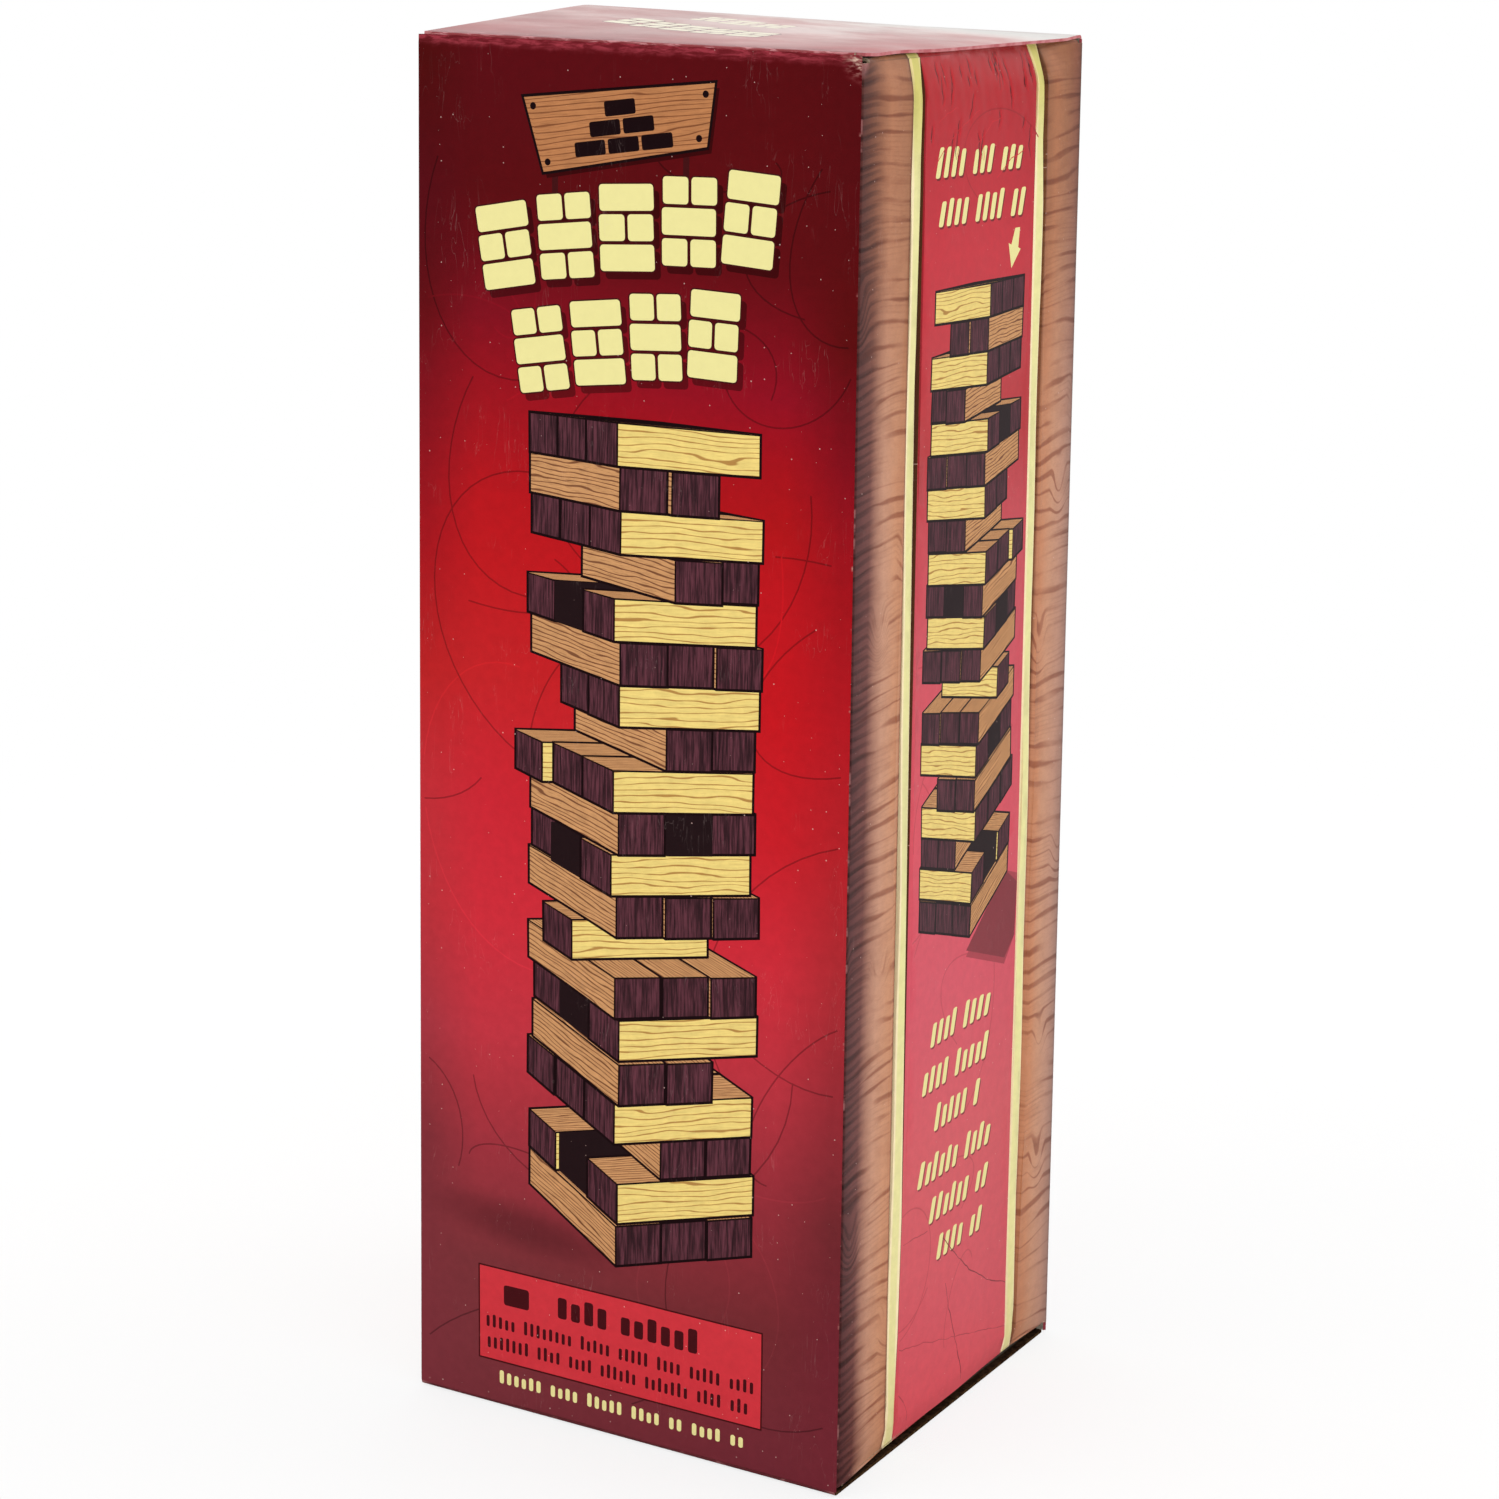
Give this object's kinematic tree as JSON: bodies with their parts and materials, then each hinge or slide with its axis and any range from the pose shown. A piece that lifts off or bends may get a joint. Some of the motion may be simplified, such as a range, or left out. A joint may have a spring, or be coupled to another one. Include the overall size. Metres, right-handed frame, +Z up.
{
  "type": "tumbling tower game carton",
  "caption": "Upright printed tuck-end paperboard carton packed with crossed layers of small wooden stacking blocks; hinged lid, base, tuck and dust flaps.",
  "frame": {"origin": "middle of the underside of the closed carton", "axes": "+Z up along the carton's height, -Y out of the printed front panel, +X out of the right-hand side panel as seen from the front"},
  "size_m": [0.08, 0.08, 0.2285],
  "materials": {
    "print_front": "satin",
    "print_side": "satin",
    "print_back": "satin",
    "print_lid": "satin",
    "print_bottom": "satin",
    "print_flap": "satin",
    "block_wood": "matte"
  },
  "bodies": {
    "carton": {"front_panel": "print_front", "back_panel": "print_back", "left_panel": "print_side", "right_panel": "print_side"},
    "lid": {"lid_panel": "print_lid"},
    "lid_tuck": {"lid_tuck_flap": "print_lid"},
    "top_dust_left": {"top_dust_flap_left": "print_flap"},
    "top_dust_right": {"top_dust_flap_right": "print_flap"},
    "bottom": {"bottom_panel": "print_bottom"},
    "bottom_tuck": {"bottom_tuck_flap": "print_bottom"},
    "bottom_dust_left": {"bottom_dust_flap_left": "print_flap"},
    "bottom_dust_right": {"bottom_dust_flap_right": "print_flap"},
    "block_stack": {"block_01_1": "block_wood", "block_01_2": "block_wood", "block_01_3": "block_wood", "block_02_1": "block_wood", "block_02_2": "block_wood", "block_02_3": "block_wood", "block_03_1": "block_wood", "block_03_2": "block_wood", "block_03_3": "block_wood", "block_04_1": "block_wood", "block_04_2": "block_wood", "block_04_3": "block_wood", "block_05_1": "block_wood", "block_05_2": "block_wood", "block_05_3": "block_wood", "block_06_1": "block_wood", "block_06_2": "block_wood", "block_06_3": "block_wood", "block_07_1": "block_wood", "block_07_2": "block_wood", "block_07_3": "block_wood", "block_08_1": "block_wood", "block_08_2": "block_wood", "block_08_3": "block_wood", "block_09_1": "block_wood", "block_09_2": "block_wood", "block_09_3": "block_wood", "block_10_1": "block_wood", "block_10_2": "block_wood", "block_10_3": "block_wood", "block_11_1": "block_wood", "block_11_2": "block_wood", "block_11_3": "block_wood", "block_12_1": "block_wood", "block_12_2": "block_wood", "block_12_3": "block_wood", "block_13_1": "block_wood", "block_13_2": "block_wood", "block_13_3": "block_wood", "block_14_1": "block_wood", "block_14_2": "block_wood", "block_14_3": "block_wood", "block_15_1": "block_wood", "block_15_2": "block_wood", "block_15_3": "block_wood", "block_16_1": "block_wood", "block_16_2": "block_wood", "block_16_3": "block_wood"}
  },
  "joints": [
    {"name": "lid_hinge", "type": "hinge", "parent": "carton", "child": "lid", "pos_m": [0, 0.04, 0.2285], "axis": [-1, 0, 0], "range_deg": [0, 180]},
    {"name": "lid_tuck_hinge", "type": "hinge", "parent": "lid", "child": "lid_tuck", "pos_m": [0, -0.0391, 0.2285], "axis": [-1, 0, 0], "range_deg": [0, 18]},
    {"name": "top_dust_left_hinge", "type": "hinge", "parent": "carton", "child": "top_dust_left", "pos_m": [-0.04, 0, 0.2277], "axis": [0, -1, 0], "range_deg": [0, 90]},
    {"name": "top_dust_right_hinge", "type": "hinge", "parent": "carton", "child": "top_dust_right", "pos_m": [0.04, 0, 0.2277], "axis": [0, 1, 0], "range_deg": [0, 90]},
    {"name": "bottom_hinge", "type": "hinge", "parent": "carton", "child": "bottom", "pos_m": [0, -0.04, 0], "axis": [-1, 0, 0], "range_deg": [0, 180]},
    {"name": "bottom_tuck_hinge", "type": "hinge", "parent": "bottom", "child": "bottom_tuck", "pos_m": [0, 0.0391, 0], "axis": [-1, 0, 0], "range_deg": [0, 18]},
    {"name": "bottom_dust_left_hinge", "type": "hinge", "parent": "carton", "child": "bottom_dust_left", "pos_m": [-0.04, 0, 0.0008], "axis": [0, 1, 0], "range_deg": [0, 90]},
    {"name": "bottom_dust_right_hinge", "type": "hinge", "parent": "carton", "child": "bottom_dust_right", "pos_m": [0.04, 0, 0.0008], "axis": [0, -1, 0], "range_deg": [0, 90]},
    {"name": "stack_play", "type": "slide", "parent": "carton", "child": "block_stack", "axis": [0, 0, 1], "range_m": [0, 0.0012]}
  ],
  "couplings": [
    {"joint": "lid_tuck_hinge", "follows": "lid_hinge", "ratio": 0.1},
    {"joint": "top_dust_left_hinge", "follows": "lid_hinge", "ratio": 0.5},
    {"joint": "top_dust_right_hinge", "follows": "lid_hinge", "ratio": 0.5},
    {"joint": "bottom_tuck_hinge", "follows": "bottom_hinge", "ratio": 0.1},
    {"joint": "bottom_dust_left_hinge", "follows": "bottom_hinge", "ratio": 0.5},
    {"joint": "bottom_dust_right_hinge", "follows": "bottom_hinge", "ratio": 0.5}
  ]
}
